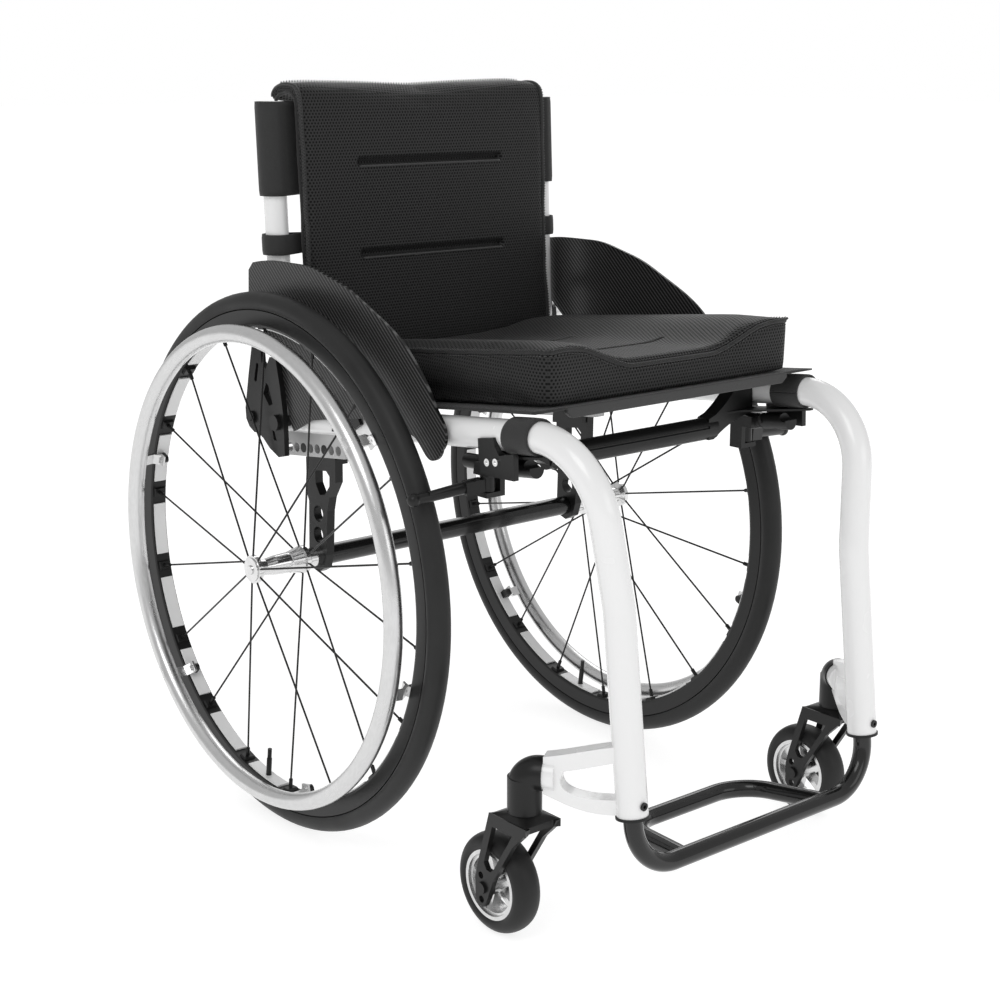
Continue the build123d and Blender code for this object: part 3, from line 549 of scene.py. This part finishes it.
def sling_z(x, forward):
    """The stretched panel sags a little between the side tubes."""
    sag = 2.2 * (1 - (min(abs(x), 170) / 170) ** 2) * (1 - smoothstep(forward, 300, 370))
    return seat_top(forward) - 1.6 - sag


across = [SLING_HALF * (k / 16 - 1) for k in range(33)]
along = [SLING_BACK + (SLING_FRONT - SLING_BACK) * k / 36 for k in range(37)]
rows = [[at(x, f, sling_z(x, f)) for x in across] for f in along]
sling = new_piece("sling_panel", *skin(rows, closed=False, caps=False), CLOTH, "frame", "black_fabric")
thicken = sling.modifiers.new("thickness", "SOLIDIFY")
thicken.thickness = 0.0018
thicken.offset = 0
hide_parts("seat_sling")


def band(name, outline, front, back, look, body, slot, soft=0.0012):
    """A flat band: an outline of (x, z) between two lengths ahead of the axle, with softened edges."""
    n = len(outline)
    points = [at(x, front, z) for x, z in outline] + [at(x, back, z) for x, z in outline]
    faces = [tuple(range(n)), tuple(reversed(range(n, 2 * n)))]
    faces += [(j, j + n, (j + 1) % n + n, (j + 1) % n) for j in range(n)]
    piece = new_piece(name, points, faces, look, body, slot)
    bevel = piece.modifiers.new("soft", "BEVEL")
    bevel.width = soft
    bevel.segments = 3
    return piece


hem_outline = [(-152.7, 511.2), (-152.7, 506.2), (-146, 500.8), (146, 500.8), (152.7, 506.2), (152.7, 511.2)]
hem = band("sling_hem", hem_outline, 371.3, 364.5, HEM_CLOTH_AND_LIP_HIGHLIGHT, "frame", "black_fabric")


def tube_wrap(name, side, start, end, radius, thick, centre, look, body, slot):
    """Fabric sewn all the way round a tube, from one length ahead of the axle to another."""
    rings = []
    for k in range(13):
        t = k / 12
        forward = start + (end - start) * t
        r = radius + 0.18 * math.sin(math.pi * t)
        cx, cz = centre(forward)
        angles = [math.radians(-180 + 360 * j / 28) for j in range(29)]
        rings.append([at(side * (cx + r * math.cos(a)), forward, cz + r * math.sin(a)) for a in angles])
    piece = new_piece(name, *skin(rings, closed=False, caps=False), look, body, slot)
    wall = piece.modifiers.new("thickness", "SOLIDIFY")
    wall.thickness = thick
    wall.offset = 1 if side > 0 else -1
    edge = piece.modifiers.new("soft", "BEVEL")
    edge.width = 0.0005
    edge.segments = 2
    return piece


def seat_tube_centre(forward):
    return 185.9, 441.5 + SEAT_SLOPE * (forward + 60) - max(0.0, forward - 365.0) ** 2 / 150.0


for side, tag in ((1, "left"), (-1, "right")):
    tube_wrap("sling_flap_" + tag, side, 334.0, 371.0, 15.9, 0.0020, seat_tube_centre, CLOTH, "frame",
              "black_fabric")

# ---------------------------------------------------------------- back cushion
PAD_HALF = 172.0
PAD_THICK = 13.0
# side profile of the pad's front face: forward, height; it folds over the top and hangs behind
PAD_FACE = [(-27.0, 487), (-24.8, 533), (-28.5, 600), (-32.6, 700), (-36.0, 770), (-37.6, 787),
            (-41.5, 796.0), (-50, 801.4), (-62, 802.6), (-76, 801.0), (-88.0, 796.0), (-95.5, 787.0)]


def rounded_path(points, per_span=8):
    """A smooth line through points (Catmull-Rom)."""
    out = []
    for i in range(len(points) - 1):
        p0 = Vector(points[max(0, i - 1)])
        p1 = Vector(points[i])
        p2 = Vector(points[i + 1])
        p3 = Vector(points[min(len(points) - 1, i + 2)])
        for k in range(per_span):
            t = k / per_span
            out.append(0.5 * ((2 * p1) + (p2 - p0) * t + (2 * p0 - 5 * p1 + 4 * p2 - p3) * t * t
                              + (3 * p1 - p0 - 3 * p2 + p3) * t * t * t))
    out.append(Vector(points[-1]))
    return out


face_line = rounded_path(PAD_FACE)


def pad_dip(x, z):
    """The top edge sags between the corners."""
    return -6.5 * (1 - smoothstep(abs(x), 20, 165)) * smoothstep(z, 700, 796)


def inward_of(heading):
    """The way into the pad from its front face, square to the heading along its profile."""
    if heading.y > 0 or heading.x < 0:
        return Vector((-heading.y, heading.x))
    return Vector((heading.y, -heading.x))


def pad_ring(i):
    """One slice across the pad: a slim rounded slab, at one place along its profile."""
    here = face_line[i]
    before = face_line[max(0, i - 1)]
    after = face_line[min(len(face_line) - 1, i + 1)]
    heading = (after - before).normalized()
    inward = inward_of(heading)
    ring = []
    for j in range(64):
        a = math.tau * j / 64
        c, s = math.cos(a), math.sin(a)
        x = PAD_HALF * math.copysign(abs(c) ** 0.16, c)
        depth = PAD_THICK * (0.5 - 0.5 * math.copysign(abs(s) ** 0.55, s))
        spot = here + inward * depth
        ring.append(at(x, spot.x, spot.y + pad_dip(x, spot.y)))
    return ring


pad_rings = [pad_ring(i) for i in range(len(face_line))]
back_pad = new_piece("back_pad", *skin(pad_rings), MESH, "backrest", "black_mesh")
swell(back_pad, 0.0035, 2.0, 0.003)
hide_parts("back_cushion")

# sewn channels across the pad: a soft slope down from above, then a sharp step back out under the seam
keep_shape(back_pad)
CHANNELS = (718.0, 618.5)
for v in back_pad.data.vertices:
    z = v.co.z * 1000
    if v.co.y > at(0, -38, 0).y:
        continue
    for level in CHANNELS:
        reach = 1 - smoothstep(abs(v.co.x) * 1000, 98, 103)
        offset = z - level
        slope = 1 - smoothstep(offset, 0.0, 6.5)
        step = smoothstep(offset, -3.8, -1.8)
        v.co.y += 0.0080 * reach * slope * step


back_surface = surface_of(back_pad)
for side, tag in ((1, "left"), (-1, "right")):
    front_edge = []
    rear_edge = []
    for i in range(1, len(face_line) - 1):
        here = face_line[i]
        heading = (face_line[i + 1] - face_line[i - 1]).normalized()
        inward = inward_of(heading)
        front_edge.append(at(side * (PAD_HALF - 1.5), here.x, here.y + pad_dip(PAD_HALF, here.y)))
        back = here + inward * PAD_THICK
        rear_edge.append(at(side * (PAD_HALF - 1.5), back.x, back.y + pad_dip(PAD_HALF, back.y)))
    front_laid = on_surface(back_surface, front_edge, 0.0008)
    rear_laid = on_surface(back_surface, rear_edge, 0.0006)
    for place, laid, radius in (("front", front_laid, 0.0024), ("rear", rear_laid, 0.0022)):
        piping = skin(tube_rings(laid, radius))
        new_piece("pad_piping_" + place + "_" + tag, *piping, BINDING, "backrest", "black_mesh")
    side_stitches(back_surface, front_laid, 0.0042, 0.0024, -side * 0.0048, "pad_stitches_" + tag, "backrest",
                  "black_mesh")
    zigzag = []
    for k, (p, _) in enumerate(spread(front_laid, 0.0016)):
        reach = 0.0030 if k % 2 else 0.0004
        zigzag.append(p + Vector((side * reach, -0.0012 if k % 2 else -0.0020, 0)))
    new_piece("pad_zigzag_" + tag, *skin(tube_rings(zigzag, 0.0007, 5)), THREAD, "backrest", "black_mesh")

# the sewn lip under each channel: a small ridge drawn in the lighter hem cloth, its lighter colour a painted
# highlight where the fold catches light
for level, tag in zip(CHANNELS, ("high", "low")):
    lip = [at(x, -20, level - 4.2) for x in (99 * (k / 30 - 1) for k in range(61))]
    laid = on_surface(back_surface, lip, 0.0003)
    new_piece("pad_lip_" + tag, *skin(tube_rings(laid, 0.0011, 8)), HEM_CLOTH_AND_LIP_HIGHLIGHT, "backrest", "black_mesh")

# overlock stitching along the top fold: a comb of small loops
top_line = [at(x, -80, 803 + pad_dip(x, 803)) for x in (PAD_HALF * (k / 80 - 1) * 0.985 for k in range(161))]
top_laid = on_surface(back_surface, top_line, 0.0)
teeth = []
for k, (p, _) in enumerate(spread(top_laid, 0.0018)):
    teeth.append(p + Vector((0, 0, 0.0042 if k % 2 else 0.0)))
new_piece("pad_top_stitches", *skin(tube_rings(teeth, 0.0008, 5)), BINDING, "backrest", "black_mesh")


# ---------------------------------------------------------------- backrest sleeves and bands
def back_f(z):
    return -(52.4 + 0.0450 * (z - 440.0))


BACK_TUBE_X = 187.5
SLEEVE_R = 16.3
LOW_BAND = (621.6, 643.3)
HIGH_BAND = (684.3, 783.0)
STRAIGHT = 1.9  # how far round the loop the straight runs reach


def sleeve(name, low, high, body, slot):
    """Upholstery band across the back with a sleeve round each back tube, all one slim sewn loop."""
    rings = []
    for k in range(17):
        t = k / 16
        z = low + (high - low) * t
        hem = 0.5 * (1 - smoothstep(min(t, 1 - t) * (high - low), 0, 5))
        radius = SLEEVE_R - hem
        ring = []
        for j in range(96):
            a = math.tau * j / 96
            c, s = math.cos(a), math.sin(a)
            if abs(c * STRAIGHT) >= 1:
                # round the tube
                b = a if a < math.pi / 2 else (a - math.tau if a > 3 * math.pi / 2 else math.pi - a)
                phi = math.pi / 2 * b / math.acos(1 / STRAIGHT)
                x = math.copysign(BACK_TUBE_X + radius * math.cos(phi), c)
                forward = radius * math.sin(phi)
            else:
                # straight run in front or behind, pulled in between the tubes
                x = BACK_TUBE_X * c * STRAIGHT
                press = smoothstep(BACK_TUBE_X - abs(x), 0, 26)
                forward = math.copysign(radius * (1 - press) + 3.0 * press, s)
            ring.append(at(x, back_f(z) + forward, z))
        rings.append(ring)
    points, faces = skin(rings, caps=False)
    piece = new_piece(name, points, faces, CLOTH, body, slot)
    wall = piece.modifiers.new("thickness", "SOLIDIFY")
    wall.thickness = 0.0016
    wall.offset = 0
    return piece


low_band = sleeve("back_band_low", *LOW_BAND, "backrest", "black_fabric")
high_band = sleeve("back_band_high", *HIGH_BAND, "backrest", "black_fabric")
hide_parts("back_upholstery")

# ---------------------------------------------------------------- floor, light and camera
floor_mesh = bpy.data.meshes.new("floor")
floor_mesh.from_pydata([(-30, -30, 0), (30, -30, 0), (30, 30, 0), (-30, 30, 0)], [], [(0, 1, 2, 3)])
floor = bpy.data.objects.new("floor", floor_mesh)
bpy.context.scene.collection.objects.link(floor)
pale = Finish("pale_floor", Emission_Strength=0.80)
pale.colour(grey(0.4))
pale.rough(0.9)
pale.put(pale.shader.inputs["Emission Color"], grey(1.0))
floor_mesh.materials.append(pale.material)

world = bpy.data.worlds.new("studio")
bpy.context.scene.world = world
world.use_nodes = True
backdrop = world.node_tree.nodes["Background"]
backdrop.inputs["Color"].default_value = grey(1.0)
# full white behind the chair, gentler as a light
seen = world.node_tree.nodes.new("ShaderNodeLightPath")
strength = world.node_tree.nodes.new("ShaderNodeMapRange")
strength.inputs["To Min"].default_value = 0.62
strength.inputs["To Max"].default_value = 1.0
world.node_tree.links.new(seen.outputs["Is Camera Ray"], strength.inputs["Value"])
world.node_tree.links.new(strength.outputs["Result"], backdrop.inputs["Strength"])


def softbox(name, place, target, size, power):
    data = bpy.data.lights.new(name, "AREA")
    data.shape = "RECTANGLE"
    data.size, data.size_y = size
    data.energy = power
    light = bpy.data.objects.new(name, data)
    light.location = place
    light.rotation_euler = (Vector(target) - Vector(place)).to_track_quat("-Z", "Y").to_euler()
    bpy.context.scene.collection.objects.link(light)


softbox("key", (-2.2, -1.2, 2.8), (0, 0, 0.4), (1.6, 1.6), 24)
softbox("front", (0.6, -3.2, 1.4), (0, 0, 0.4), (2.0, 1.2), 9)
softbox("rim", (2.2, 2.0, 2.2), (0, 0, 0.4), (1.6, 1.6), 16)

camera = bpy.data.objects.new("camera", bpy.data.cameras.new("camera"))
bpy.context.scene.collection.objects.link(camera)
camera.data.sensor_width = 36
camera.data.lens = 64.39
camera.location = at(-1248.4, 1587.4, 825.2)
yaw, pitch = -0.6948, 0.2409
view = Vector((-math.sin(yaw) * math.cos(pitch), math.cos(yaw) * math.cos(pitch), -math.sin(pitch)))
camera.rotation_euler = view.to_track_quat("-Z", "Y").to_euler()
bpy.context.scene.camera = camera
bpy.context.scene.view_settings.view_transform = "Standard"
